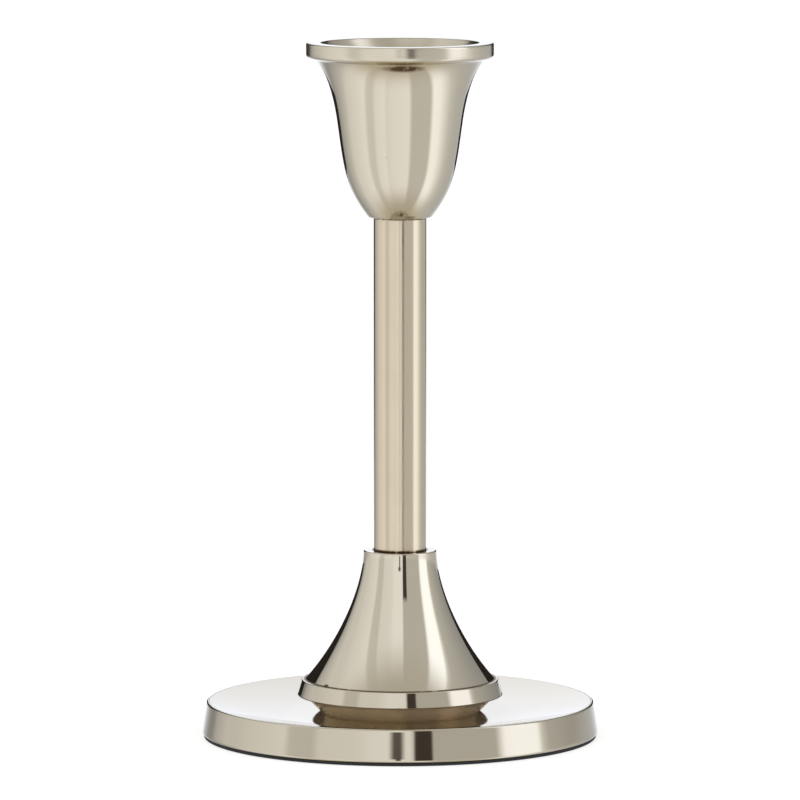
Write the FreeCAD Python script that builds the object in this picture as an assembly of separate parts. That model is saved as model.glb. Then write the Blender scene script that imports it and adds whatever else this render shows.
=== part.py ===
# Nickel-plated candlestick for one taper candle, in millimetres.
# +Z is up. The origin is the middle of the foot's underside, where it stands on the table.
# One threaded rod holds the stack: a nut in the cup's floor and a nut under the base pull
# the cup, stem, skirt, collar and base together.

import FreeCAD
import Part
import math
import os

# ---------------------------------------------------------------- driving dimensions

# Clearances, measured on the radius unless a comment says otherwise
candle_clearance = 0.2      # candle in its socket
rod_clearance = 0.25        # rod through plain holes
thread_clearance = 0.05     # rod in a nut
spigot_clearance = 0.1      # centring spigots in their recesses
push_clearance = 0.02       # bushes pushed into the stem
ballast_clearance = 0.2     # ballast in the base's pocket
nut_floor_gap = 0.1         # upright gap between the base nut and the pad
nut_candle_gap = 0.5        # upright gap between the rod's top end and the candle

# Tie rod with its nuts and washers
rod_radius = 2.5
rod_chamfer = 0.4
rod_protrusion = 1.0        # rod end standing above the cup nut
nut_height = 2.7
nut_across_flats = 8.0
washer_radius = 5.0
washer_thickness = 0.8

# Candle cup
candle_radius = 11.0
socket_length = 10.5        # straight wall that holds the candle
flare_height = 14.4         # from the top of that wall up to the rim
mouth_radius = 17.3
rim_width = 3.15            # flat ring on top of the rim
rim_height = 3.2            # outer face of the rim
rim_underside_drop = 0.6    # slope of the rim's underside towards the bell
rim_edge_radius = 0.4
rim_foot_edge_radius = 1.0  # rounder lower edge of the rim
throat_overhang = 0.95      # bell under the rim, outside the mouth's radius
waist_wall = 2.44           # metal outside the socket at the bell's waist
waist_height_share = 0.6    # of the bell's height
cup_floor = 8.2             # metal under the cup nut
nut_seat_radius = 6.5
cup_foot_ledge = 1.18       # bell's foot outside the stem
cup_foot_edge_radius = 0.4

# Stem
stem_radius = 5.75
stem_wall = 1.0
stem_length = 73.2
bush_length = 12.0          # inside the stem
spigot_length = 2.0         # standing out of the stem's end
recess_gap = 0.5            # upright room past a spigot's end

# Skirt: hollow trumpet with a band at its foot
skirt_height = 32.0
skirt_top_ledge = 2.25      # skirt's flat top outside the stem
skirt_top_edge_radius = 0.3
skirt_wall = 1.6
skirt_top_thickness = 2.0
band_radius = 22.64
band_height = 3.5
band_taper = 1.06           # band narrower at its top than at its foot
band_ledge = 0.88           # flat step between the band and the trumpet
band_edge_radius = 0.25
band_seat_width = 3.64      # flat ring under the band

# Collar between skirt and base
collar_height = 3.6
collar_setback = 1.75       # collar's top inside the band's foot
collar_draw_in = 3.6        # collar narrower at its neck than at its top
collar_bulge = 0.15         # collar's round side outside the straight line from neck to top
collar_spigot_height = 1.8
collar_spigot_wall = 2.4

# Base, ballast and pad
base_radius = 43.55
base_draft = 9.0            # degrees that the outer wall leans in
base_floor = 1.2            # metal under the dish
dish_depth = 2.26
dish_flat_margin = 0.71     # dish's flat floor past the collar's neck
rim_land = 0.5              # from the base's top edge in to where the dish starts
base_top_edge_radius = 0.4
base_foot_edge_radius = 0.5
pocket_wall = 5.5
ballast_hole_radius = 8.0
pad_thickness = 0.7
pad_setback = 0.45

# ---------------------------------------------------------------- heights and radii that follow

base_foot_z = pad_thickness
base_nut_z = pad_thickness + nut_floor_gap
base_ceiling_z = base_nut_z + nut_height + washer_thickness
dish_z = base_ceiling_z + base_floor
base_top_z = dish_z + dish_depth
skirt_foot_z = dish_z + collar_height
skirt_top_z = skirt_foot_z + skirt_height
cup_foot_z = skirt_top_z + stem_length
nut_seat_z = cup_foot_z + cup_floor
rod_top_z = nut_seat_z + washer_thickness + nut_height + rod_protrusion
socket_floor_z = rod_top_z + nut_candle_gap
socket_top_z = socket_floor_z + socket_length
cup_top_z = socket_top_z + flare_height

rod_hole_radius = rod_radius + rod_clearance
socket_radius = candle_radius + candle_clearance
rim_radius = mouth_radius + rim_width
throat_radius = mouth_radius + throat_overhang
waist_radius = socket_radius + waist_wall
cup_foot_radius = stem_radius + cup_foot_ledge
stem_bore_radius = stem_radius - stem_wall
bush_radius = stem_bore_radius - push_clearance
bush_recess_radius = bush_radius + spigot_clearance
skirt_top_radius = stem_radius + skirt_top_ledge
trumpet_foot_radius = band_radius - band_taper - band_ledge
skirt_bore_radius = band_radius - band_seat_width
collar_top_radius = band_radius - collar_setback
collar_neck_radius = collar_top_radius - collar_draw_in
dish_flat_radius = collar_neck_radius + dish_flat_margin
base_top_radius = base_radius - (base_top_z - base_foot_z) * math.tan(math.radians(base_draft))
pocket_radius = base_radius - pocket_wall

# ---------------------------------------------------------------- drawing and turning helpers


def at(radius, z):
    """Point of a turned piece's outline: its distance from the axis and its height."""
    return FreeCAD.Vector(radius, 0, z)


def lines(*points):
    """Straight edges from each (radius, z) to the next."""
    ends = [at(*p) for p in points]
    return [Part.LineSegment(a, b).toShape() for a, b in zip(ends, ends[1:])]


def bezier(*poles):
    """One smooth edge drawn by its control points (radius, z)."""
    curve = Part.BezierCurve()
    curve.setPoles([at(*p) for p in poles])
    return curve.toShape()


def turned(edges):
    """Solid swept by a closed outline that turns once about the Z axis."""
    outline = Part.Wire(Part.__sortEdges__(edges))
    return Part.Face(outline).revolve(FreeCAD.Vector(0, 0, 0), FreeCAD.Vector(0, 0, 1), 360)


def ring(inner, outer, z_low, z_high):
    """Plain ring, or a disc where inner is 0."""
    disc = Part.makeCylinder(outer, z_high - z_low, at(0, z_low))
    if inner == 0:
        return disc
    return disc.cut(Part.makeCylinder(inner, z_high - z_low, at(0, z_low)))


def round_edge(solid, edge_radius, circle_radius, z):
    """Rounds the circular edge of that radius at that height."""
    found = [
        e for e in solid.Edges
        if isinstance(e.Curve, Part.Circle)
        and abs(e.Curve.Radius - circle_radius) < 1e-4
        and abs(e.Curve.Center.z - z) < 1e-4
    ]
    return solid.makeFillet(edge_radius, found)


def trumpet(top_radius, top_z, foot_radius, foot_z):
    """Flaring edge that leaves the top upright and opens out towards the foot."""
    height = top_z - foot_z
    spread = foot_radius - top_radius
    return bezier(
        (top_radius, top_z),
        (top_radius, top_z - 0.26 * height),
        (top_radius + 0.37 * spread, top_z - 0.68 * height),
        (foot_radius, foot_z),
    )


# ---------------------------------------------------------------- candle cup


def bell_outline():
    """Outer face of the bell, from the rim's underside through the waist to the foot."""
    throat_z = cup_top_z - rim_height - rim_underside_drop
    waist_z = cup_foot_z + waist_height_share * (throat_z - cup_foot_z)
    upper = throat_z - waist_z
    lower = waist_z - cup_foot_z
    lean = 0.14                 # outward step for each step up, at the waist
    above = 0.215 * upper
    below = 0.47 * lower
    spread = throat_radius - waist_radius
    draw_in = waist_radius - cup_foot_radius
    return [
        bezier(
            (throat_radius, throat_z),
            (waist_radius + 0.33 * spread, waist_z + 0.72 * upper),
            (waist_radius + lean * above, waist_z + above),
            (waist_radius, waist_z),
        ),
        bezier(
            (waist_radius, waist_z),
            (waist_radius - lean * below, waist_z - below),
            (cup_foot_radius + 0.75 * draw_in, cup_foot_z + 0.31 * lower),
            (cup_foot_radius, cup_foot_z),
        ),
    ]


def candle_cup():
    """Bell with a flat rim, a straight candle socket, a nut seat and a recess for the bush."""
    recess_z = cup_foot_z + spigot_length + recess_gap
    rim_foot_z = cup_top_z - rim_height
    flare = mouth_radius - socket_radius
    inside = [
        bezier(
            (mouth_radius, cup_top_z),
            (mouth_radius - 0.35 * flare, cup_top_z - 0.27 * flare_height),
            (socket_radius, socket_top_z + 0.45 * flare_height),
            (socket_radius, socket_top_z),
        )
    ] + lines(
        (socket_radius, socket_top_z),
        (socket_radius, socket_floor_z),
        (nut_seat_radius, nut_seat_z),
        (rod_hole_radius, nut_seat_z),
        (rod_hole_radius, recess_z),
        (bush_recess_radius, recess_z),
        (bush_recess_radius, cup_foot_z),
        (cup_foot_radius, cup_foot_z),
    )
    outside = lines(
        (mouth_radius, cup_top_z),
        (rim_radius, cup_top_z),
        (rim_radius, rim_foot_z),
        (throat_radius, rim_foot_z - rim_underside_drop),
    ) + bell_outline()
    cup = turned(inside + outside)
    cup = round_edge(cup, rim_edge_radius, rim_radius, cup_top_z)
    cup = round_edge(cup, rim_foot_edge_radius, rim_radius, rim_foot_z)
    cup = round_edge(cup, rim_edge_radius, mouth_radius, cup_top_z)
    return round_edge(cup, cup_foot_edge_radius, cup_foot_radius, cup_foot_z)


# ---------------------------------------------------------------- tie rod, nuts and washers


def tie_rod():
    """Rod from the underside of the base nut to just above the cup nut."""
    end = rod_radius - rod_chamfer
    return turned(
        lines(
            (0, base_nut_z),
            (end, base_nut_z),
            (rod_radius, base_nut_z + rod_chamfer),
            (rod_radius, rod_top_z - rod_chamfer),
            (end, rod_top_z),
            (0, rod_top_z),
            (0, base_nut_z),
        )
    )


def hex_nut(z_low):
    """Thin hexagon nut whose corners are turned off at both faces."""
    corner_radius = nut_across_flats / 2 / math.cos(math.radians(30))
    corners = []
    for turn in range(7):
        angle = math.radians(60 * turn)
        corners.append(
            FreeCAD.Vector(corner_radius * math.cos(angle), corner_radius * math.sin(angle), z_low)
        )
    block = Part.Face(Part.makePolygon(corners)).extrude(FreeCAD.Vector(0, 0, nut_height))
    face_radius = nut_across_flats / 2
    slope = (corner_radius - face_radius) * math.tan(math.radians(30))
    z_high = z_low + nut_height
    turned_off = turned(
        lines(
            (0, z_low),
            (face_radius, z_low),
            (corner_radius, z_low + slope),
            (corner_radius, z_high - slope),
            (face_radius, z_high),
            (0, z_high),
            (0, z_low),
        )
    )
    thread = Part.makeCylinder(rod_radius + thread_clearance, nut_height, at(0, z_low))
    return block.common(turned_off).cut(thread)


def washer(z_low):
    """Plain washer on the rod."""
    return ring(rod_hole_radius, washer_radius, z_low, z_low + washer_thickness)


# ---------------------------------------------------------------- stem


def stem_tube():
    """Tube between the skirt's top and the cup's foot."""
    return ring(stem_bore_radius, stem_radius, skirt_top_z, cup_foot_z)


def stem_bush(z_low):
    """Bush that is pushed into the stem and centres it on the rod and on its neighbour."""
    return ring(rod_hole_radius, bush_radius, z_low, z_low + bush_length + spigot_length)


# ---------------------------------------------------------------- skirt and collar


def skirt():
    """Hollow trumpet with a flat top that carries the stem and a stepped band at its foot."""
    band_top_z = skirt_foot_z + band_height
    bore_top_z = skirt_foot_z + collar_spigot_height + recess_gap
    ceiling_z = skirt_top_z - skirt_top_thickness
    inner_top_radius = skirt_top_radius - skirt_wall
    shell = turned(
        [
            trumpet(skirt_top_radius, skirt_top_z, trumpet_foot_radius, band_top_z),
            trumpet(inner_top_radius, ceiling_z, skirt_bore_radius, bore_top_z),
        ]
        + lines(
            (trumpet_foot_radius, band_top_z),
            (band_radius - band_taper, band_top_z),
            (band_radius, skirt_foot_z),
            (skirt_bore_radius, skirt_foot_z),
            (skirt_bore_radius, bore_top_z),
        )
        + lines(
            (inner_top_radius, ceiling_z),
            (bush_recess_radius, ceiling_z),
            (bush_recess_radius, skirt_top_z),
            (skirt_top_radius, skirt_top_z),
        )
    )
    shell = round_edge(shell, skirt_top_edge_radius, skirt_top_radius, skirt_top_z)
    shell = round_edge(shell, band_edge_radius, band_radius - band_taper, band_top_z)
    return round_edge(shell, band_edge_radius, band_radius, skirt_foot_z)


def foot_collar():
    """Disc under the skirt with a round side, a neck and a spigot that centres the skirt."""
    spigot_radius = skirt_bore_radius - spigot_clearance
    spigot_bore_radius = spigot_radius - collar_spigot_wall
    spigot_top_z = skirt_foot_z + collar_spigot_height
    slant = math.hypot(collar_draw_in, collar_height)
    side_middle = at(
        (collar_neck_radius + collar_top_radius) / 2 + collar_bulge * collar_height / slant,
        (dish_z + skirt_foot_z) / 2 - collar_bulge * collar_draw_in / slant,
    )
    side = Part.Arc(
        at(collar_neck_radius, dish_z), side_middle, at(collar_top_radius, skirt_foot_z)
    ).toShape()
    return turned(
        [side]
        + lines(
            (collar_top_radius, skirt_foot_z),
            (spigot_radius, skirt_foot_z),
            (spigot_radius, spigot_top_z),
            (spigot_bore_radius, spigot_top_z),
            (spigot_bore_radius, skirt_foot_z),
            (rod_hole_radius, skirt_foot_z),
            (rod_hole_radius, dish_z),
            (collar_neck_radius, dish_z),
        )
    )


# ---------------------------------------------------------------- base, ballast and pad


def base_plate():
    """Round base with a leaning wall, a dished top and a pocket underneath."""
    dish_rim_radius = base_top_radius - rim_land
    run = dish_rim_radius - dish_flat_radius
    arc_radius = (run ** 2 + dish_depth ** 2) / (2 * dish_depth)
    half_turn = math.asin(run / arc_radius) / 2
    dish_middle = at(
        dish_flat_radius + arc_radius * math.sin(half_turn),
        dish_z + arc_radius * (1 - math.cos(half_turn)),
    )
    dish = Part.Arc(
        at(dish_flat_radius, dish_z), dish_middle, at(dish_rim_radius, base_top_z)
    ).toShape()
    base = turned(
        [dish]
        + lines(
            (dish_rim_radius, base_top_z),
            (base_top_radius, base_top_z),
            (base_radius, base_foot_z),
            (pocket_radius, base_foot_z),
            (pocket_radius, base_ceiling_z),
            (rod_hole_radius, base_ceiling_z),
            (rod_hole_radius, dish_z),
            (dish_flat_radius, dish_z),
        )
    )
    base = round_edge(base, base_top_edge_radius, base_top_radius, base_top_z)
    return round_edge(base, base_foot_edge_radius, base_radius, base_foot_z)


def ballast_disc():
    """Iron disc in the base's pocket, with room for the washer and nut in its middle."""
    return ring(
        ballast_hole_radius,
        pocket_radius - ballast_clearance,
        base_foot_z + nut_floor_gap,
        base_ceiling_z,
    )


def base_pad():
    """Thin round pad under the base that closes the pocket and stands on the table."""
    return ring(0, base_radius - pad_setback, 0, pad_thickness)


# ---------------------------------------------------------------- assembly

pieces = {
    "candle_cup": candle_cup(),
    "cup_washer": washer(nut_seat_z),
    "cup_nut": hex_nut(nut_seat_z + washer_thickness),
    "tie_rod": tie_rod(),
    "stem_top_bush": stem_bush(cup_foot_z - bush_length),
    "stem_tube": stem_tube(),
    "stem_bottom_bush": stem_bush(skirt_top_z - spigot_length),
    "skirt": skirt(),
    "foot_collar": foot_collar(),
    "base_plate": base_plate(),
    "ballast_disc": ballast_disc(),
    "base_washer": washer(base_ceiling_z - washer_thickness),
    "base_nut": hex_nut(base_nut_z),
    "base_pad": base_pad(),
}

os.makedirs("parts", exist_ok=True)
for name, shape in pieces.items():
    [solid] = shape.Solids
    solid.exportStep("parts/" + name + ".step")
    print(f"{name:18} valid {solid.isValid()}  {solid.Volume:10.1f} mm3")
print(f"height {cup_top_z:.2f}, base diameter {2 * base_radius:.2f}")
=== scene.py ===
import math

import bpy
import numpy as np
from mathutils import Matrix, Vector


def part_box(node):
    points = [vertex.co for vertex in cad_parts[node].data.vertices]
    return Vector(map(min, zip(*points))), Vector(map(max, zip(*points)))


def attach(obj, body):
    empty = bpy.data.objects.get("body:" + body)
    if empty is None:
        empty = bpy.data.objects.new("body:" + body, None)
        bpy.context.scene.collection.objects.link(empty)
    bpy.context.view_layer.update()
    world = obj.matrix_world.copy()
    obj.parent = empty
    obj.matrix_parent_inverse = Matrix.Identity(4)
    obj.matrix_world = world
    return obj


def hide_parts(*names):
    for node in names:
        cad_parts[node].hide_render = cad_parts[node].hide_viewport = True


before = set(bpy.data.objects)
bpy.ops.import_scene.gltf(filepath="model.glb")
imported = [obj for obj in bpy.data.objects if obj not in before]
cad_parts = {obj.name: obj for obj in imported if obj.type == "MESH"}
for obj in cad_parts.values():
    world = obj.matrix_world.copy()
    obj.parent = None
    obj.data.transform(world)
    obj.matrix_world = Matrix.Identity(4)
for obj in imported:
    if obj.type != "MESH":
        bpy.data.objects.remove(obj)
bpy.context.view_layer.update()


# ---- Base plate --------------------------------------------------------------------------------
# A heavy round plate, cast, turned on a lathe and nickel plated. Its wall leans in, its top is a
# shallow dish, and a pocket underneath takes the ballast. The tie rod clamps it to the collar.

MM = 0.001


def rounded(corners, steps=8):
    """Outline through corners (radius, z, rounding), all in millimetres, where each corner with a
    rounding becomes an arc tangent to both sides. With half-turn h between the sides, the arc
    starts rounding * tan(h) from the corner. Two more points keep the flat sides flat."""
    corners = np.asarray(corners, float)
    points = []
    for i, (radius, z, rounding) in enumerate(corners):
        corner = np.array([radius, z])
        before, after = corners[i - 1, :2], corners[(i + 1) % len(corners), :2]
        if rounding == 0:
            points.append(corner[None])
            continue
        back = (before - corner) / np.linalg.norm(before - corner)
        ahead = (after - corner) / np.linalg.norm(after - corner)
        half_turn = (math.pi - math.acos(np.clip(back @ ahead, -1, 1))) / 2
        reach = rounding * math.tan(half_turn)
        middle = (back + ahead) / np.linalg.norm(back + ahead)
        centre = corner + middle * rounding / math.cos(half_turn)
        spread = np.linspace(-half_turn, half_turn, steps)[:, None]
        side = (ahead - back) / np.linalg.norm(ahead - back)
        arc = centre + rounding * (np.sin(spread) * side - np.cos(spread) * middle)
        points += [(corner + back * reach * 1.6)[None], arc, (corner + ahead * reach * 1.6)[None]]
    return np.concatenate(points)


def curve(start, leave, arrive, end, steps=40):
    """Cubic Bezier curve from start to end with its two inner control points, as corners with no
    rounding: (1-t)^3 start + 3(1-t)^2 t leave + 3(1-t) t^2 arrive + t^3 end."""
    t = np.linspace(0, 1, steps)[:, None]
    points = (
        (1 - t) ** 3 * np.array(start)
        + 3 * (1 - t) ** 2 * t * np.array(leave)
        + 3 * (1 - t) * t ** 2 * np.array(arrive)
        + t ** 3 * np.array(end)
    )
    return np.column_stack([points, np.zeros(steps)])


def turned(name, outline, around=256):
    """Closed surface of revolution. Point (i, j) is outline point i turned by 2 pi j / around:
    x = r cos, y = r sin, z unchanged. An outline that starts and ends on the axis closes in two
    poles, and any other outline closes on itself. Faces point away from the metal."""
    outline = np.asarray(outline, float) * MM
    steps = np.r_[outline[1:], outline[:1]] - outline
    area = np.sum(outline[:, 0] * np.r_[outline[1:, 1], outline[:1, 1]])
    area -= np.sum(outline[:, 1] * np.r_[outline[1:, 0], outline[:1, 0]])
    if area < 0:
        outline = outline[::-1]
    keep = np.linalg.norm(np.diff(outline, axis=0, append=outline[:1]), axis=1) > 1e-7
    outline = outline[keep]
    poles = outline[0, 0] < 1e-9 or outline[-1, 0] < 1e-9
    ring = outline[outline[:, 0] > 1e-9]
    turn = np.linspace(0, 2 * math.pi, around, endpoint=False)
    radius, z = ring[:, :1], ring[:, 1:]
    level = np.broadcast_to(z, (len(ring), around))
    grid = np.stack([radius * np.cos(turn), radius * np.sin(turn), level], axis=-1)
    vertices = grid.reshape(-1, 3)
    rows = len(ring) if not poles else len(ring) - 1
    i, j = np.meshgrid(np.arange(rows), np.arange(around), indexing="ij")
    up, right = (i + 1) % len(ring), (j + 1) % around
    quads = np.stack(
        [i * around + j, i * around + right, up * around + right, up * around + j], axis=-1
    )
    faces = quads.reshape(-1, 4).tolist()
    if poles:
        low, high = len(vertices), len(vertices) + 1
        vertices = np.vstack([vertices, [0, 0, ring[0, 1]], [0, 0, ring[-1, 1]]])
        j = np.arange(around)
        right = (j + 1) % around
        last = (len(ring) - 1) * around
        faces += np.stack([np.full(around, low), right, j], axis=-1).tolist()
        faces += np.stack([np.full(around, high), last + j, last + right], axis=-1).tolist()
    mesh = bpy.data.meshes.new(name)
    mesh.from_pydata(vertices, [], faces)
    mesh.shade_smooth()
    mesh.set_sharp_from_angle(angle=math.radians(28))
    piece = bpy.data.objects.new(name, mesh)
    bpy.context.scene.collection.objects.link(piece)
    return piece


def other_finish(piece, material, chosen):
    """Gives another finish to the faces for which chosen(radius, z, outward) is true. Radius and z
    are of the face's middle in millimetres, outward is its normal's share away from the axis."""
    count = len(piece.data.polygons)
    middle, normal = np.empty(3 * count), np.empty(3 * count)
    piece.data.polygons.foreach_get("center", middle)
    piece.data.polygons.foreach_get("normal", normal)
    middle, normal = middle.reshape(-1, 3) / MM, normal.reshape(-1, 3)
    radius = np.hypot(middle[:, 0], middle[:, 1])
    outward = (middle[:, :2] * normal[:, :2]).sum(axis=1) / np.maximum(radius, 1e-6)
    finishes = np.zeros(count, np.int32)
    piece.data.polygons.foreach_get("material_index", finishes)
    finishes[chosen(radius, middle[:, 2], outward)] = len(piece.data.materials)
    piece.data.materials.append(material)
    piece.data.polygons.foreach_set("material_index", finishes)


def stands_for(piece, slot, material, *nodes):
    """Puts a finished piece on the object's one body in the place of its plain nodes."""
    piece.data.materials.clear()
    piece.data.materials.append(material)
    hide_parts(*nodes)
    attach(piece, "root")


def add(tree, kind, values=None, **settings):
    """Adds a node. values gives each named input a constant or another node's output."""
    made = tree.nodes.new(kind)
    for key, value in settings.items():
        setattr(made, key, value)
    for key, value in (values or {}).items():
        if isinstance(value, bpy.types.NodeSocket):
            tree.links.new(value, made.inputs[key])
        else:
            made.inputs[key].default_value = value
    return made


# Dark brown for pits, copper marks and the lines at the joints, and painted shade in the grooves and
# under the ledges.
STAIN_AND_SHADE = (0.11, 0.055, 0.022, 1)


def plated(name, colour, deep_colour, gloss, marks, marks_pitch, waves, rings=(), spots=(), streak=0.0,
           metal=1.0):
    """Nickel plate over turned metal. gloss is the mean roughness. marks is the depth and
    marks_pitch the spacing in metres of the fine rings that the lathe or buff left, which follow z
    plus the distance from the axis. waves is the depth of the plate's slow unevenness. rings are
    (radius, z, spread, strength, even) of the brown line along a joint, which is painted shade
    where it lies in a groove or under a ledge, and spots are (place, half width, half height,
    strength, even) of brown patches, in millimetres. streak is the anisotropy of a brushed finish.
    metal is less than 1 where the plate has dulled and browned."""
    finish = bpy.data.materials.new(name)
    finish.use_nodes = True
    tree = finish.node_tree
    shader = tree.nodes["Principled BSDF"]
    shader.inputs["Metallic"].default_value = metal
    place = add(tree, "ShaderNodeTexCoord").outputs["Object"]
    split = add(tree, "ShaderNodeSeparateXYZ", {0: place})
    flat = add(tree, "ShaderNodeCombineXYZ", {0: split.outputs[0], 1: split.outputs[1]})
    reach = add(tree, "ShaderNodeVectorMath", {0: flat.outputs[0]}, operation="LENGTH")
    travel = add(tree, "ShaderNodeMath", {0: split.outputs[2], 1: reach.outputs["Value"]},
                 operation="ADD")
    along = add(tree, "ShaderNodeVectorMath", {0: flat.outputs[0], "Scale": 55.0}, operation="SCALE")
    across = add(tree, "ShaderNodeMath", {0: travel.outputs[0], 1: 1 / marks_pitch},
                 operation="MULTIPLY")
    lift = add(tree, "ShaderNodeCombineXYZ", {2: across.outputs[0]})
    stretched = add(tree, "ShaderNodeVectorMath", {0: along.outputs[0], 1: lift.outputs[0]},
                    operation="ADD")
    cut = add(tree, "ShaderNodeTexNoise",
              {"Vector": stretched.outputs[0], "Scale": 1.0, "Detail": 3.0, "Roughness": 0.6})
    swell = add(tree, "ShaderNodeTexNoise",
                {"Vector": place, "Scale": 130.0, "Detail": 1.0, "Roughness": 0.4})
    uneven = add(tree, "ShaderNodeBump",
                 {"Height": swell.outputs["Fac"], "Distance": waves, "Strength": 1.0})
    grooves = add(tree, "ShaderNodeBump",
                  {"Height": cut.outputs["Fac"], "Distance": marks, "Strength": 1.0,
                   "Normal": uneven.outputs[0]})
    tree.links.new(grooves.outputs[0], shader.inputs["Normal"])
    smear = add(tree, "ShaderNodeTexNoise",
                {"Vector": place, "Scale": 60.0, "Detail": 4.0, "Roughness": 0.6})
    worn = add(tree, "ShaderNodeMapRange",
               {"Value": smear.outputs["Fac"], "From Min": 0.35, "From Max": 0.7,
                "To Min": 0.75 * gloss, "To Max": 1.35 * gloss})
    tint = add(tree, "ShaderNodeMix",
               {"Factor": smear.outputs["Fac"], 6: (*colour, 1), 7: (*deep_colour, 1)},
               data_type="RGBA")
    rough, shade = worn.outputs[0], tint.outputs[2]
    bloom = add(tree, "ShaderNodeTexNoise",
                {"Vector": place, "Scale": 700.0, "Detail": 3.0, "Roughness": 0.6}).outputs["Fac"]
    pores = add(tree, "ShaderNodeTexVoronoi", {"Vector": place, "Scale": 190.0})
    pit = add(tree, "ShaderNodeMapRange",
              {"Value": pores.outputs["Distance"], "From Min": 0.01, "From Max": 0.03,
               "To Min": 0.6, "To Max": 0.0}).outputs[0]
    stain_and_shade = [pit]
    section = add(tree, "ShaderNodeCombineXYZ", {0: reach.outputs["Value"], 2: split.outputs[2]})
    for radius, z, spread, strength, even in rings:
        corner = (radius * MM, 0, z * MM)
        away = add(tree, "ShaderNodeVectorMath", {0: section.outputs[0], 1: corner},
                   operation="DISTANCE")
        stain_and_shade.append(patch(tree, away.outputs["Value"], bloom, spread, strength, even))
    for spot, half_width, half_height, strength, even in spots:
        centre = tuple(MM * c for c in spot)
        slim = (1, 1, half_width / half_height)
        offset = add(tree, "ShaderNodeVectorMath", {0: place, 1: centre}, operation="SUBTRACT")
        scaled = add(tree, "ShaderNodeVectorMath", {0: offset.outputs[0], 1: slim},
                     operation="MULTIPLY")
        away = add(tree, "ShaderNodeVectorMath", {0: scaled.outputs[0]}, operation="LENGTH")
        stain_and_shade.append(patch(tree, away.outputs["Value"], bloom, half_width, strength, even))
    # Each amount mixes in the dark brown and a duller roughness. Along grooves and under ledges this
    # is painted shade.
    for amount in stain_and_shade:
        shade = add(tree, "ShaderNodeMix", {"Factor": amount, 6: shade, 7: STAIN_AND_SHADE},
                    data_type="RGBA").outputs[2]
        rough = add(tree, "ShaderNodeMix", {"Factor": amount, 2: rough, 3: 0.5}).outputs[0]
    tree.links.new(shade, shader.inputs["Base Color"])
    tree.links.new(rough, shader.inputs["Roughness"])
    if streak:
        shader.inputs["Anisotropic"].default_value = streak
        shader.inputs["Anisotropic Rotation"].default_value = 0.25
        circle = add(tree, "ShaderNodeTangent", direction_type="RADIAL", axis="Z")
        tree.links.new(circle.outputs[0], shader.inputs["Tangent"])
    return finish


def patch(tree, distance, bloom, spread, strength, even):
    """Amount of brown, for stains and painted shade alike: full at distance 0, none at spread
    millimetres, broken into specks by the noise. even of 1 leaves no gaps between the specks."""
    close = add(tree, "ShaderNodeMapRange",
                {"Value": distance, "From Min": 0.35 * spread * MM, "From Max": spread * MM,
                 "To Min": strength, "To Max": 0.0}, interpolation_type="SMOOTHSTEP")
    speck = add(tree, "ShaderNodeMapRange",
                {"Value": bloom, "From Min": 0.52 - 0.3 * even, "From Max": 0.62 - 0.2 * even})
    return add(tree, "ShaderNodeMath", {0: close.outputs[0], 1: speck.outputs[0]},
               operation="MULTIPLY").outputs[0]


base_low, base_high = (corner * 1000 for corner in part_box("base_plate"))
base_radius = 43.55
base_top_radius = 42.43
base_foot_z, base_top_z = base_low.z, base_high.z
dish_z = 5.5
dish_flat_radius = 18.0
rim_land = 0.5
dish_rim_radius = base_top_radius - rim_land
pocket_radius = 38.05
pocket_z = 4.3
rod_hole_radius = 2.75


def dish_arc(steps=40):
    """Corners of the dish from its flat floor out to the rim: z = floor + R - sqrt(R^2 - d^2), with
    d the distance past the flat floor and R the radius that reaches the rim's height."""
    run = dish_rim_radius - dish_flat_radius
    rise = base_top_z - dish_z
    arc = (run ** 2 + rise ** 2) / (2 * rise)
    d = np.linspace(0, run, steps)
    z = dish_z + arc - np.sqrt(arc ** 2 - d ** 2)
    return np.column_stack([dish_flat_radius + d, z, np.zeros(steps)])


base_outline = np.vstack([
    dish_arc()[:-1],
    [dish_rim_radius, base_top_z, 0.15],
    [base_top_radius, base_top_z, 0.4],
    [base_radius, base_foot_z, 0.5],
    [pocket_radius, base_foot_z, 0],
    [pocket_radius, pocket_z, 0],
    [rod_hole_radius, pocket_z, 0],
    [rod_hole_radius, dish_z, 0],
])
NICKEL = (0.80, 0.74, 0.615)
NICKEL_DEEP = (0.77, 0.705, 0.57)
TURNED_NICKEL = (0.72, 0.66, 0.54)
TURNED_NICKEL_DEEP = (0.69, 0.625, 0.50)
base = turned("dished_base", rounded(base_outline), around=320)
base_finish = plated("turned_nickel_base", TURNED_NICKEL, TURNED_NICKEL_DEEP, gloss=0.045,
                     marks=0.000002, marks_pitch=0.00035, waves=0.000008)
stands_for(base, "polished_nickel", base_finish, "base_plate")


# ---- Base pad ----------------------------------------------------------------------------------
# A thin disc of black foam rubber, die cut and glued under the base. It closes the pocket and
# keeps the metal off the table, so only its edge shows, as a dark line.

pad_setback = 0.45
pad_outline = [
    (0, 0, 0),
    (base_radius - pad_setback, 0, 0.15),
    (base_radius - pad_setback, base_foot_z, 0.15),
    (0, base_foot_z, 0),
]
pad = turned("base_pad_rubber", rounded(pad_outline), around=256)


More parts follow.
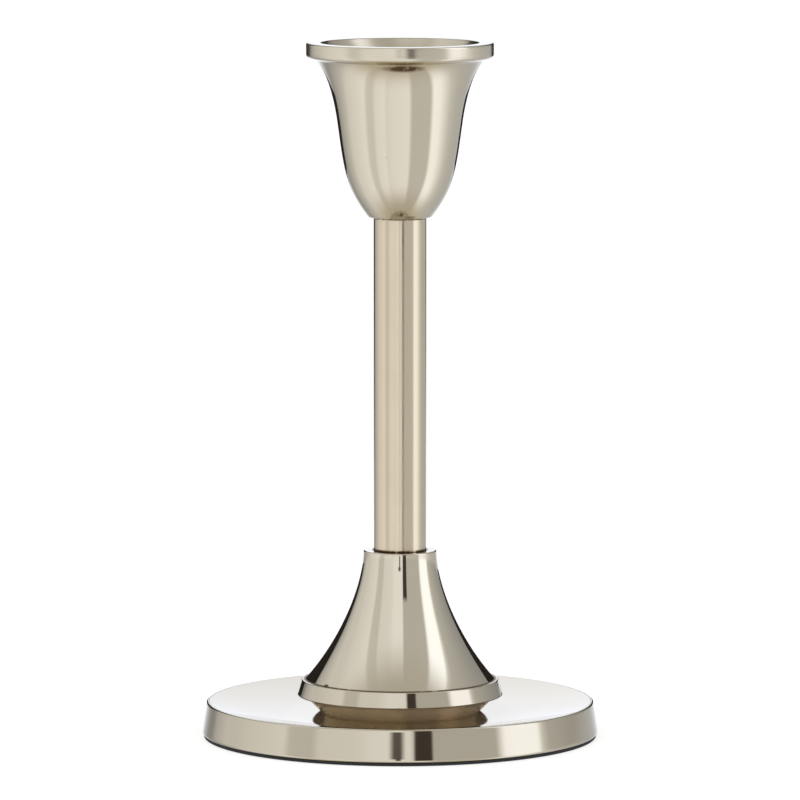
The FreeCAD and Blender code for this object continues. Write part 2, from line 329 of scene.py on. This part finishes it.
def matte(name, colour, roughness, grain_scale, grain_depth):
    """Dull material with a fine grain: colour and height follow one noise in object space."""
    finish = bpy.data.materials.new(name)
    finish.use_nodes = True
    tree = finish.node_tree
    shader = tree.nodes["Principled BSDF"]
    shader.inputs["Roughness"].default_value = roughness
    place = add(tree, "ShaderNodeTexCoord").outputs["Object"]
    grain = add(tree, "ShaderNodeTexNoise", {"Vector": place, "Scale": grain_scale, "Detail": 4.0})
    light = tuple(1.8 * c for c in colour)
    tint = add(tree, "ShaderNodeMix",
               {"Factor": grain.outputs["Fac"], 6: (*colour, 1), 7: (*light, 1)}, data_type="RGBA")
    bump = add(tree, "ShaderNodeBump", {"Height": grain.outputs["Fac"], "Distance": grain_depth})
    tree.links.new(tint.outputs[2], shader.inputs["Base Color"])
    tree.links.new(bump.outputs[0], shader.inputs["Normal"])
    return finish


stands_for(pad, "black_pad", matte("black_foam_rubber", (0.012, 0.012, 0.013), 0.8, 2500.0, 0.00008),
           "base_pad")


# ---- Ballast disc ------------------------------------------------------------------------------
# A plain iron disc, sand cast and left rough, that lies in the pocket under the base. It is
# hidden once the pad is on.

iron = matte("sand_cast_iron", (0.05, 0.05, 0.055), 0.6, 900.0, 0.0002)
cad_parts["ballast_disc"].data.materials.clear()
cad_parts["ballast_disc"].data.materials.append(iron)


# ---- Collar ------------------------------------------------------------------------------------
# A turned and plated disc between the base and the skirt. Its side draws in to a neck and isn't
# buffed, so it stays satin and has browned. Its spigot centres the skirt.

skirt_foot_z = (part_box("skirt")[0] * 1000).z
band_radius = 22.64
collar_setback = 1.75
collar_draw_in = 3.6
collar_top_radius = band_radius - collar_setback
collar_neck_radius = collar_top_radius - collar_draw_in
collar_bulge = 0.15
spigot_radius = 18.9
spigot_bore_radius = 16.5
spigot_height = 1.8
spigot_top_z = skirt_foot_z + spigot_height


def bulge(start, end, rise, steps=24):
    """Corners of the arc from start to end that stands out from their line by rise at its middle,
    to the right of the way. Its radius is (half line squared + rise squared) / (2 rise)."""
    start, end = np.array(start), np.array(end)
    half = np.linalg.norm(end - start) / 2
    way = (end - start) / (2 * half)
    side = np.array([way[1], -way[0]])
    radius = (half ** 2 + rise ** 2) / (2 * rise)
    centre = (start + end) / 2 - side * (radius - rise)
    turn = np.linspace(-1, 1, steps)[:, None] * math.asin(half / radius)
    points = centre + radius * (np.sin(turn) * way + np.cos(turn) * side)
    return np.column_stack([points, np.zeros(steps)])


collar_outline = np.vstack([
    bulge((collar_neck_radius, dish_z), (collar_top_radius, skirt_foot_z), collar_bulge),
    [spigot_radius, skirt_foot_z, 0],
    [spigot_radius, spigot_top_z, 0.3],
    [spigot_bore_radius, spigot_top_z, 0.3],
    [spigot_bore_radius, skirt_foot_z, 0],
    [rod_hole_radius, skirt_foot_z, 0],
    [rod_hole_radius, dish_z, 0],
])
collar = turned("neck_collar", rounded(collar_outline))
# The brown ring at the collar's top is painted shade under the band's overhang.
collar_finish = plated("browned_nickel_collar", (0.72, 0.61, 0.46), (0.66, 0.55, 0.41), gloss=0.2,
                       marks=0.000001, marks_pitch=0.0003, waves=0.000004,
                       rings=[(collar_top_radius, skirt_foot_z, 0.45, 0.7, 1)], metal=0.55)
stands_for(collar, "polished_nickel", collar_finish, "foot_collar")


# ---- Skirt -------------------------------------------------------------------------------------
# A hollow trumpet, cast, turned and polished to a mirror, with a flat top that carries the stem
# and a stepped band at its foot. The band keeps the lathe's fine rings.

skirt_top_z = (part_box("skirt")[1] * 1000).z
skirt_top_radius = 8.0
stem_radius = 5.75
band_top_radius = 21.58
band_height = 3.5
band_ledge = 0.88
band_top_z = skirt_foot_z + band_height
trumpet_foot_radius = band_top_radius - band_ledge
skirt_bore_radius = 19.0
skirt_wall = 1.6
skirt_top_thickness = 2.0
skirt_bore_height = 2.3
skirt_ceiling_z = skirt_top_z - skirt_top_thickness
bush_recess_radius = 4.83


def trumpet(top_radius, top_z, foot_radius, foot_z):
    """Flare that leaves the top upright and opens towards the foot, as one Bezier curve."""
    height, spread = top_z - foot_z, foot_radius - top_radius
    return curve((top_radius, top_z), (top_radius, top_z - 0.26 * height),
                 (top_radius + 0.37 * spread, top_z - 0.68 * height), (foot_radius, foot_z), steps=72)


skirt_outline = np.vstack([
    [bush_recess_radius, skirt_top_z, 0.1],
    [skirt_top_radius, skirt_top_z, 0.3],
    trumpet(skirt_top_radius, skirt_top_z, trumpet_foot_radius, band_top_z)[1:],
    [band_top_radius, band_top_z, 0.2],
    [band_radius, skirt_foot_z, 0.25],
    [skirt_bore_radius, skirt_foot_z, 0],
    trumpet(skirt_top_radius - skirt_wall, skirt_ceiling_z,
            skirt_bore_radius, skirt_foot_z + skirt_bore_height)[::-1],
    [bush_recess_radius, skirt_ceiling_z, 0],
])
skirt = turned("trumpet_skirt", rounded(skirt_outline))
# The ring round the trumpet's foot is painted shade in the groove above the band. The ring at the top
# is the dark line where the stem stands, and the spot is copper marks.
skirt_finish = plated("mirror_nickel_skirt", NICKEL, NICKEL_DEEP, gloss=0.035,
                      marks=0.0000005, marks_pitch=0.0004, waves=0.000006,
                      rings=[(stem_radius, skirt_top_z, 0.6, 0.9, 0.8),
                             (trumpet_foot_radius, band_top_z, 0.32, 0.9, 1)],
                      spots=[((-16.3, -12.9, band_top_z), 1.3, 0.9, 1.0, 0.5)])
# Both rings on the band are painted shade: a dark line under its lower edge, and a softer one that
# dims the ledge at its top.
band_finish = plated("turned_nickel_band", TURNED_NICKEL, TURNED_NICKEL_DEEP, gloss=0.05,
                     marks=0.000002, marks_pitch=0.0003, waves=0.000006,
                     rings=[(band_radius, skirt_foot_z, 0.35, 0.8, 1),
                            (trumpet_foot_radius + 0.1, band_top_z, 0.6, 0.8, 1)])
stands_for(skirt, "polished_nickel", skirt_finish, "skirt")
other_finish(skirt, band_finish,
             lambda radius, z, outward: (z < band_top_z + 0.01) & (outward > -0.01))


# ---- Stem and its bushes -----------------------------------------------------------------------
# A straight drawn tube, brushed round and round to a satin and plated, with its sharp ends broken.
# A turned brass bush is pushed into each end and centres it on the rod.

stem_low, stem_high = (corner * 1000 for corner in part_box("stem_tube"))
stem_bore_radius = 4.75
stem_outline = [
    (stem_bore_radius, stem_low.z, 0),
    (stem_radius, stem_low.z, 0.25),
    (stem_radius, stem_high.z, 0.2),
    (stem_bore_radius, stem_high.z, 0),
]
stem = turned("satin_stem", rounded(stem_outline), around=192)
stem_finish = plated("brushed_nickel_stem", (0.81, 0.715, 0.56), (0.77, 0.67, 0.505), gloss=0.2,
                     marks=0.000004, marks_pitch=0.00022, waves=0.000004, streak=0.8,
                     rings=[(stem_radius, stem_low.z, 0.6, 0.9, 0.8),
                            (stem_radius, stem_high.z, 0.5, 0.9, 0.8)])
stands_for(stem, "brushed_nickel", stem_finish, "stem_tube")

brass = plated("turned_brass_bush", (0.62, 0.42, 0.16), (0.5, 0.31, 0.1), gloss=0.25,
               marks=0.000004, marks_pitch=0.0003, waves=0.000004)
for node in ("stem_top_bush", "stem_bottom_bush"):
    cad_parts[node].data.materials.clear()
    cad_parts[node].data.materials.append(brass)


# ---- Candle cup --------------------------------------------------------------------------------
# A bell cast in brass, turned, polished and nickel plated, with a flat flanged rim. Its inside
# flares down to a straight socket for the candle, and the nut sits in its floor.

cup_low, cup_high = (corner * 1000 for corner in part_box("candle_cup"))
cup_foot_z, cup_top_z = cup_low.z, cup_high.z
cup_foot_radius = 6.93
rim_radius = 20.45
mouth_radius = 17.3
rim_height = 3.2
rim_underside_drop = 0.6
rim_foot_z = cup_top_z - rim_height
throat_radius = 18.25
throat_z = rim_foot_z - rim_underside_drop
waist_radius = 13.64
waist_height_share = 0.6
waist_z = cup_foot_z + waist_height_share * (throat_z - cup_foot_z)
socket_radius = 11.2
socket_depth = 24.9
socket_length = 10.5
socket_floor_z = cup_top_z - socket_depth
socket_top_z = socket_floor_z + socket_length
cup_floor = 8.2
nut_seat_z = cup_foot_z + cup_floor
nut_seat_radius = 6.5
bush_recess_depth = 2.5
bush_recess_z = cup_foot_z + bush_recess_depth


def bell():
    """Outside of the bell from the throat to the foot: two Bezier curves that share the waist's
    point and its lean."""
    lean = 0.14
    upper, lower = throat_z - waist_z, waist_z - cup_foot_z
    above, below = 0.215 * upper, 0.47 * lower
    spread, draw_in = throat_radius - waist_radius, waist_radius - cup_foot_radius
    over = curve((throat_radius, throat_z), (waist_radius + 0.33 * spread, waist_z + 0.72 * upper),
                 (waist_radius + lean * above, waist_z + above), (waist_radius, waist_z), steps=48)
    under = curve((waist_radius, waist_z), (waist_radius - lean * below, waist_z - below),
                  (cup_foot_radius + 0.75 * draw_in, cup_foot_z + 0.31 * lower),
                  (cup_foot_radius, cup_foot_z), steps=56)
    return np.vstack([over, under[1:]])


flare = mouth_radius - socket_radius
flare_height = cup_top_z - socket_top_z
flare_wall = curve((mouth_radius, cup_top_z),
                   (mouth_radius - 0.35 * flare, cup_top_z - 0.27 * flare_height),
                   (socket_radius, socket_top_z + 0.45 * flare_height),
                   (socket_radius, socket_top_z), steps=40)
flare_wall[0, 2] = 0.4
bell_wall = bell()
bell_wall[0, 2] = 0.35
bell_wall[-1, 2] = 0.4
cup_outline = np.vstack([
    flare_wall,
    [socket_radius, socket_floor_z, 0],
    [nut_seat_radius, nut_seat_z, 0],
    [rod_hole_radius, nut_seat_z, 0],
    [rod_hole_radius, bush_recess_z, 0],
    [bush_recess_radius, bush_recess_z, 0],
    [bush_recess_radius, cup_foot_z, 0],
    bell_wall[::-1],
    [rim_radius, rim_foot_z, 1.0],
    [rim_radius, cup_top_z, 0.4],
])
cup = turned("bell_cup", rounded(cup_outline))
# The spots are dark brown patches painted at the front of the bell's foot and at the front of the
# throat under the rim.
cup_finish = plated("mirror_nickel_cup", NICKEL, NICKEL_DEEP, gloss=0.08,
                    marks=0.000001, marks_pitch=0.0004, waves=0.000008,
                    rings=[(stem_radius, cup_foot_z, 0.6, 0.9, 1)],
                    spots=[((0.1, -7.2, cup_foot_z + 1.2), 1.6, 0.8, 0.9, 0.1),
                           ((2.2, -6.8, cup_foot_z + 0.4), 1.6, 0.5, 0.6, 1.0),
                           ((0.8, -17.7, cup_top_z - 4.7), 6.0, 1.0, 0.95, 0.9)])
cup_inside_finish = plated("satin_nickel_inside", TURNED_NICKEL, TURNED_NICKEL_DEEP, gloss=0.22,
                           marks=0.000003, marks_pitch=0.0004, waves=0.00001)
rim_finish = plated("satin_nickel_rim", NICKEL, NICKEL_DEEP, gloss=0.2,
                    marks=0.000002, marks_pitch=0.0003, waves=0.000006)
stands_for(cup, "polished_nickel", cup_finish, "candle_cup")


def inner_faces(radius, z, outward):
    """True for the faces that look towards the axis, and for the seat under the cup's nut."""
    seat = (z > cup_foot_z + 1) & (radius < nut_seat_radius)
    return (outward < -0.1) | seat


def rim_faces(radius, z, outward):
    """True for the outer face of the flat rim."""
    return (z > rim_foot_z) & (radius > rim_radius - 0.3)


other_finish(cup, cup_inside_finish, inner_faces)
other_finish(cup, rim_finish, rim_faces)


# ---- Tie rod, nuts and washers -----------------------------------------------------------------
# Zinc plated steel hardware. The rod runs down through the whole stack, with a thin nut on a
# washer in the cup's floor and another pair under the base.

zinc = plated("zinc_plated_steel", (0.62, 0.63, 0.64), (0.52, 0.53, 0.55), gloss=0.3,
              marks=0.000004, marks_pitch=0.0003, waves=0.00001)
for node in ("tie_rod", "cup_nut", "cup_washer", "base_nut", "base_washer"):
    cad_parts[node].data.materials.clear()
    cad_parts[node].data.materials.append(zinc)


# ---- Floor, light and camera -------------------------------------------------------------------
# The table is a pale backlit sheet. The studio round it is soft light from all sides, with two
# brighter panels, grey cards between them and black flags behind on both sides.

floor_mesh = bpy.data.meshes.new("table_sheet")
half_side = 12.0
floor_z = -0.0001
floor_corners = [
    (-half_side, -half_side, floor_z),
    (half_side, -half_side, floor_z),
    (half_side, half_side, floor_z),
    (-half_side, half_side, floor_z),
]
floor_mesh.from_pydata(floor_corners, [], [(0, 1, 2, 3)])
floor = bpy.data.objects.new("table_sheet", floor_mesh)
bpy.context.scene.collection.objects.link(floor)
floor.visible_glossy = False
sheet_finish = bpy.data.materials.new("backlit_sheet")
sheet_finish.use_nodes = True
sheet_shader = sheet_finish.node_tree.nodes["Principled BSDF"]
sheet_shader.inputs["Base Color"].default_value = (0.6, 0.6, 0.6, 1)
sheet_shader.inputs["Roughness"].default_value = 1.0
sheet_shader.inputs["Specular IOR Level"].default_value = 0.0
sheet_shader.inputs["Emission Color"].default_value = (1, 1, 1, 1)
sheet_shader.inputs["Emission Strength"].default_value = 0.68
floor_mesh.materials.append(sheet_finish)

# Two black flags stand upright behind, one on each side. They hang lower further back, and only
# reflections show them.
flag_finish = bpy.data.materials.new("black_flag")
flag_finish.use_nodes = True
flag_shader = flag_finish.node_tree.nodes["Principled BSDF"]
flag_shader.inputs["Base Color"].default_value = (0.025, 0.021, 0.018, 1)
flag_shader.inputs["Roughness"].default_value = 1.0
flag_shader.inputs["Specular IOR Level"].default_value = 0.0
flag_top = 0.6
flags = (("left_flag", -0.36, 0.53, 0.25), ("right_flag", 0.36, 0.66, 0.34))
for flag_name, x, near, near_top in flags:
    corners = [(x, near, 0), (x, 3.6, -0.37), (x, 3.6, flag_top), (x, near_top, flag_top)]
    flag_mesh = bpy.data.meshes.new(flag_name)
    flag_mesh.from_pydata(corners, [], [(0, 1, 2, 3)])
    flag_mesh.materials.append(flag_finish)
    flag = bpy.data.objects.new(flag_name, flag_mesh)
    bpy.context.scene.collection.objects.link(flag)
    flag.visible_camera = False
    flag.visible_diffuse = False
    flag.visible_shadow = False

# Each row is an angle from the front, to the right, in degrees, the light from there, and its
# warmth. The upper rows hold from the table's height up, the lower rows below it.
upper_rows = [
    (-180, 1.06, -2), (-170, 1.12, -2), (-160, 0.5, -1), (-147, 0.26, 0), (-142, 0.31, 0),
    (-137, 0.50, 0), (-122, 0.70, 0), (-112, 0.70, 0), (-98, 0.78, 0), (-72, 0.87, 0),
    (-67, 0.65, 0.5), (-53, 0.64, 0.5), (-48, 0.8, 0), (-26, 0.83, 0), (-14, 0.92, -0.5),
    (6, 0.92, -0.5), (9, 0.54, 0.5), (58, 0.55, 0.5), (64, 1.26, -2), (71, 1.3, -2), (88, 1.28, -2),
    (92, 0.74, 0), (97, 0.54, 0), (126, 0.4, 0), (150, 0.3, -0.5), (163, 0.35, 0), (168, 0.98, -2),
    (180, 1.03, -2),
]
lower_rows = [
    (-180, 1.05, -2), (-168, 0.95, -2), (-160, 0.6, -1), (-151, 0.36, 0), (-146, 0.34, 0),
    (-138, 0.42, 0), (-118, 0.6, 0), (-106, 0.77, 0), (-70, 0.92, 0), (-63, 0.72, 0.5),
    (-53, 0.71, 0.5), (-46, 0.87, 0), (-30, 0.92, 0), (-25, 0.83, 0), (-14, 0.88, 0),
    (17, 0.93, 0), (23, 0.6, 0.5), (58, 0.61, 0.5), (65, 1.12, -1), (78, 1.08, -1), (90, 0.86, -0.5),
    (102, 0.66, 0), (116, 0.56, 0), (140, 0.5, -0.5), (152, 0.54, -1.5), (160, 0.67, -2),
    (168, 0.85, -2), (180, 1.05, -2),
]
# Cards stand in front of those panels: angles from and to, heights from and to, edge and colour.
cards = [
    ((8.3, 19), (-9, 29), (0.8, 1.6), (0.06, 0.05, 0.045, 1)),
    ((-5.2, 1.8), (7.2, 10.6), (1.6, 0.8), (0.12, 0.11, 0.1, 1)),
    ((-2.6, 0.6), (-4.5, 8.5), (0.5, 0.7), (0.1, 0.09, 0.08, 1)),
]
world = bpy.data.worlds.new("studio")
bpy.context.scene.world = world
world.use_nodes = True
sky = world.node_tree
sky.nodes.clear()
toward = add(sky, "ShaderNodeTexCoord").outputs["Generated"]
axes = add(sky, "ShaderNodeSeparateXYZ", {0: toward})
front = add(sky, "ShaderNodeMath", {0: axes.outputs[1], 1: -1.0}, operation="MULTIPLY")
heading = add(sky, "ShaderNodeMath", {0: axes.outputs[0], 1: front.outputs[0]}, operation="ARCTAN2")
share = add(sky, "ShaderNodeMapRange",
            {"Value": heading.outputs[0], "From Min": -math.pi, "From Max": math.pi}).outputs[0]
height = add(sky, "ShaderNodeMath", {0: axes.outputs[2]}, operation="ARCSINE").outputs[0]


def panels(rows):
    """Ring of light panels: a ramp over the heading, from cool to warm light."""
    ramp = add(sky, "ShaderNodeValToRGB", {0: share})
    stops = ramp.color_ramp.elements
    while len(stops) < len(rows):
        stops.new(0.5)
    for stop, (angle, light, warmth) in zip(stops, rows):
        stop.position = (angle + 180) / 360
        stop.color = (light, light * (1 - 0.02 * warmth), light * (1 - 0.07 * warmth), 1)
    return ramp.outputs[0]


def blend_light(below, above, start, end, level=height):
    """Blends two lights over the height of the direction, from start to end in degrees."""
    rise = add(sky, "ShaderNodeMapRange",
               {"Value": level, "From Min": math.radians(start), "From Max": math.radians(end)},
               interpolation_type="SMOOTHSTEP")
    return add(sky, "ShaderNodeMix", {"Factor": rise.outputs[0], 6: below, 7: above},
               data_type="RGBA").outputs[2]


def inside(value, low, high, soft):
    """1 between low and high degrees and 0 outside, with edges that fade over soft each way."""
    rise = add(sky, "ShaderNodeMapRange",
               {"Value": value, "From Min": math.radians(low - soft),
                "From Max": math.radians(low + soft)})
    fall = add(sky, "ShaderNodeMapRange",
               {"Value": value, "From Min": math.radians(high - soft),
                "From Max": math.radians(high + soft), "To Min": 1.0, "To Max": 0.0})
    return add(sky, "ShaderNodeMath", {0: rise.outputs[0], 1: fall.outputs[0]},
               operation="MULTIPLY").outputs[0]


# The upper panels' lower edge rises a little from the left to the right.
sloped = add(sky, "ShaderNodeMath", {0: share, 1: -0.06, 2: height},
             operation="MULTIPLY_ADD").outputs[0]
studio = blend_light(panels(lower_rows), panels(upper_rows), -6.2, -2.2, sloped)
studio = blend_light(studio, (0.5, 0.485, 0.44, 1), 44, 72)
studio = blend_light((0.5, 0.46, 0.38, 1), studio, -72, -38)
for angles, heights, edges, colour in cards:
    wide = inside(heading.outputs[0], *angles, edges[0])
    tall = inside(height, *heights, edges[1])
    cover = add(sky, "ShaderNodeMath", {0: wide, 1: tall}, operation="MULTIPLY")
    studio = add(sky, "ShaderNodeMix", {"Factor": cover.outputs[0], 6: studio, 7: colour},
                 data_type="RGBA").outputs[2]
seen = add(sky, "ShaderNodeLightPath").outputs["Is Camera Ray"]
shown = add(sky, "ShaderNodeMix", {"Factor": seen, 6: studio, 7: (1, 1, 1, 1)}, data_type="RGBA")
lamp = add(sky, "ShaderNodeBackground", {"Color": shown.outputs[2], "Strength": 1.0})
add(sky, "ShaderNodeOutputWorld", {"Surface": lamp.outputs[0]})
bpy.context.scene.view_settings.view_transform = "Standard"

camera_data = bpy.data.cameras.new("studio_camera")
camera = bpy.data.objects.new("studio_camera", camera_data)
bpy.context.scene.collection.objects.link(camera)
bpy.context.scene.camera = camera
camera_data.sensor_width = 36.0
camera_data.lens = 318.15
distance, pitch, aim_z = 1.547, math.radians(6.3), 0.0741
camera.location = (0, -distance * math.cos(pitch), aim_z + distance * math.sin(pitch))
camera.rotation_euler = (math.pi / 2 - pitch, 0, 0)
camera_data.clip_start, camera_data.clip_end = 0.05, 50.0
